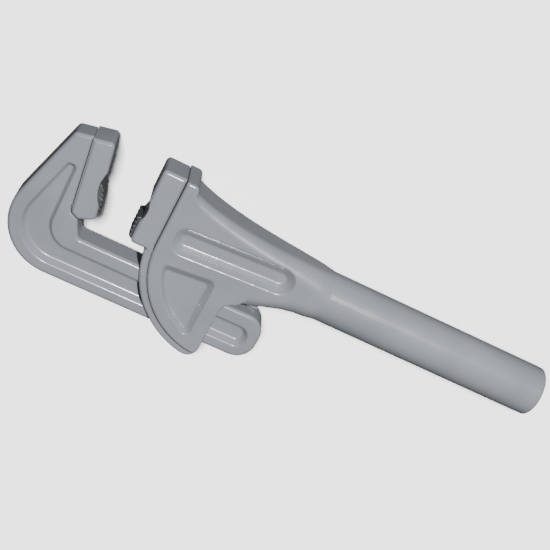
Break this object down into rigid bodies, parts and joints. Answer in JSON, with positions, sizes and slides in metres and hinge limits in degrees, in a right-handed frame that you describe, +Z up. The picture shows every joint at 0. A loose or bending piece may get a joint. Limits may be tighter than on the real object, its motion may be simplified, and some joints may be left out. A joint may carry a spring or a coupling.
{
  "type": "pipe wrench",
  "caption": "Adjustable pipe wrench: sliding hook jaw with serrated insert, worm-driven through a D-shaped housing, fixed heel jaw and round straight handle.",
  "frame": {"origin": "middle of the outline at the rest height: the wrench lies on its rear face", "axes": "+X along the handle towards its end, +Y towards the jaw tips, +Z up out of the front face"},
  "size_m": [0.3526, 0.108, 0.033],
  "materials": {
    "enamel": "smooth blue-grey baked enamel, semi-gloss",
    "tool_steel": "dark oxide hardened tool steel",
    "bright_steel": "turned and ground steel",
    "spring_steel": "tempered blue-grey spring steel"
  },
  "bodies": {
    "wrench_body": {"body_casting": "enamel", "handle_end_plug": "enamel", "end_plug_pin": "bright_steel", "heel_jaw": "enamel", "heel_jaw_pin": "bright_steel", "heel_tooth_insert": "tool_steel", "heel_insert_pin": "bright_steel", "leaf_spring": "spring_steel", "leaf_spring_rivet": "bright_steel", "worm_pin": "bright_steel", "worm_spring": "spring_steel"},
    "rocking_shoe": {"guide_shoe": "bright_steel"},
    "hook": {"hook_jaw": "enamel", "hook_jaw_block": "enamel", "hook_tooth_insert": "tool_steel", "hook_insert_pin": "bright_steel", "hook_block_pin_1": "bright_steel", "hook_block_pin_2": "bright_steel", "jaw_stop_lug": "enamel", "stop_lug_screw": "bright_steel"},
    "worm": {"adjusting_worm": "bright_steel"}
  },
  "joints": [
    {"name": "jaw_rock", "type": "hinge", "parent": "wrench_body", "child": "rocking_shoe", "pos_m": [-0.047, -0.04289, 0.0165], "axis": [0, 0, 1], "range_deg": [-1.2, 1.2], "stiffness_Nm_per_rad": 40},
    {"name": "jaw_slide", "type": "slide", "parent": "rocking_shoe", "child": "hook", "axis": [1, 0, 0], "range_m": [-0.0205, 0.019]},
    {"name": "worm_spin", "type": "hinge", "parent": "wrench_body", "child": "worm", "pos_m": [-0.047, -0.04744, 0.0165], "axis": [1, 0, 0], "range_deg": [-1370, 1480]}
  ],
  "couplings": [
    {"joint": "worm_spin", "follows": "jaw_slide", "rad_per_m": -1256.6}
  ]
}
